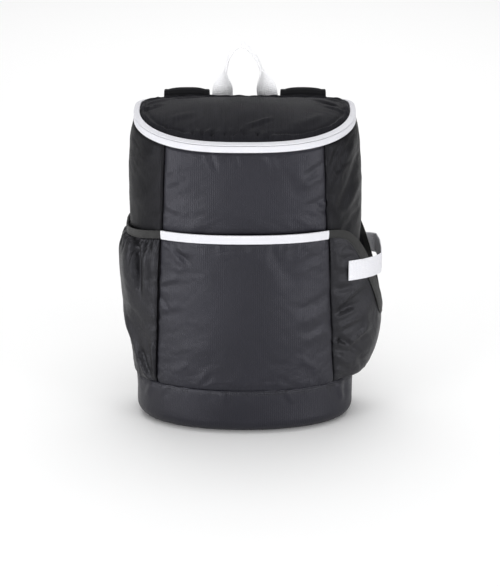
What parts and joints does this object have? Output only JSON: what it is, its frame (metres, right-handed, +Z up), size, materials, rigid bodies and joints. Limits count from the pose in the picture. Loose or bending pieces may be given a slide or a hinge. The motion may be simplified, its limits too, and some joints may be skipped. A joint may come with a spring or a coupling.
{
  "type": "cooler backpack",
  "caption": "Insulated soft cooler worn as a backpack, with a zipped domed lid, flat front pocket, elastic and scooped side pockets, webbing grab handle and padded shoulder straps.",
  "frame": {"origin": "middle of the flat base, on the surface that the bag stands on", "axes": "+Z up, -Y towards the bag's front, +X towards the viewer's right when looking at the front"},
  "size_m": [0.335, 0.2036, 0.4686],
  "materials": {
    "shell_fabric": "dark charcoal ribbed nylon with a soft sheen",
    "side_fabric": "dark charcoal nylon, slightly warmer and darker than the front",
    "back_padding": "black padded mesh cloth",
    "binding": "dark grey ribbed elastic binding",
    "white_tape": "white woven tape",
    "white_webbing": "white ribbed webbing",
    "black_webbing": "black ribbed webbing",
    "zip_plastic": "white moulded coil",
    "black_plastic": "black moulded plastic"
  },
  "bodies": {
    "root": {"base_panel": "shell_fabric", "front_panel_lower": "shell_fabric", "front_panel_upper": "shell_fabric", "front_pocket": "shell_fabric", "side_panel_left": "side_fabric", "side_panel_right": "side_fabric", "back_panel": "back_padding", "lid": "shell_fabric", "lid_hinge": "shell_fabric", "zip_tape_body": "white_tape", "zip_tape_lid": "white_tape", "zip_coil": "zip_plastic", "zip_slider": "black_plastic", "front_pocket_tape": "white_tape", "left_pocket": "side_fabric", "left_pocket_binding": "binding", "right_pocket": "side_fabric", "right_pocket_binding": "binding", "right_pocket_strap": "white_webbing", "grab_handle": "white_webbing", "shoulder_strap_left": "back_padding", "shoulder_strap_right": "back_padding", "strap_adjuster_left": "black_plastic", "strap_adjuster_right": "black_plastic", "strap_webbing_left": "black_webbing", "strap_webbing_right": "black_webbing"}
  },
  "joints": []
}
